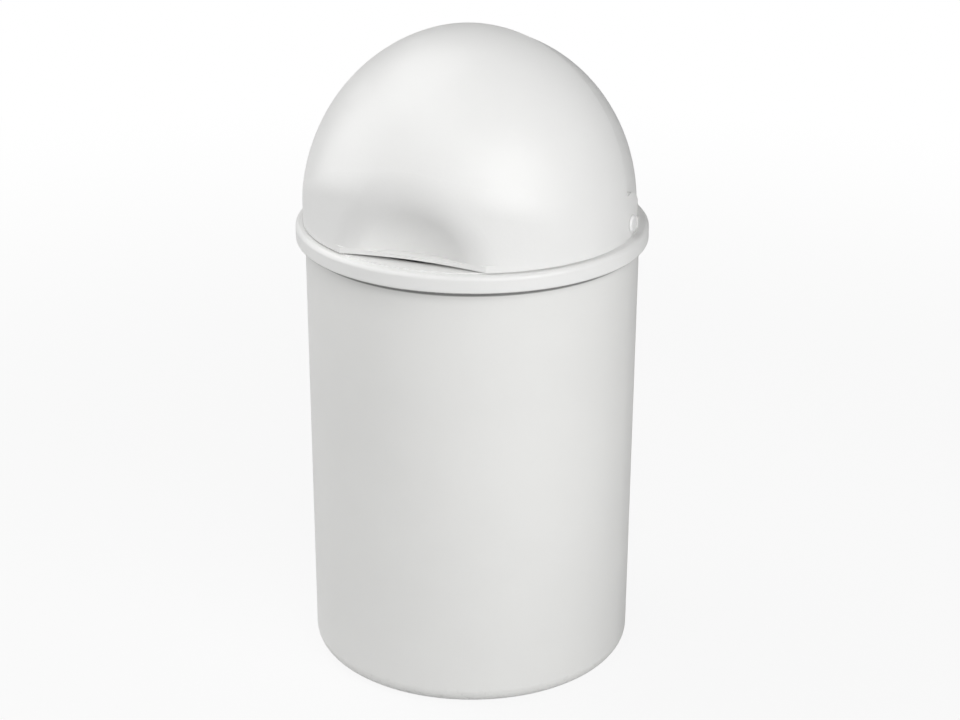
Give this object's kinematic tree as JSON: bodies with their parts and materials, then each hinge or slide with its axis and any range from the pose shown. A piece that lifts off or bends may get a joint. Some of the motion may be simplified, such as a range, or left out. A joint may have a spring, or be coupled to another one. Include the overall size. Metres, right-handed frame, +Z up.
{
  "type": "countertop bin",
  "caption": "Round white countertop bin with a lift-off domed lid whose front flap rolls back over a fixed rear hood.",
  "frame": {"origin": "middle of the base, on the surface that the bin stands on", "axes": "+Z up, front with the finger scoop at -Y, flap pivot axis along X"},
  "size_m": [0.164, 0.164, 0.3056],
  "materials": {
    "body_plastic": "satin gloss",
    "lid_plastic": "satin gloss",
    "pin_plastic": "satin gloss"
  },
  "bodies": {
    "bin": {"bin_body": "body_plastic"},
    "lid": {"lid_collar": "lid_plastic", "rear_hood": "lid_plastic", "pivot_pin_left": "pin_plastic", "pivot_pin_right": "pin_plastic"},
    "flap": {"front_flap": "lid_plastic"}
  },
  "joints": [
    {"name": "lid_lift", "type": "slide", "parent": "bin", "child": "lid", "axis": [0, 0, 1], "range_m": [0, 0.06]},
    {"name": "flap_turn", "type": "hinge", "parent": "lid", "child": "flap", "pos_m": [0, 0, 0.2222], "axis": [-1, 0, 0], "range_deg": [0, 60]}
  ]
}
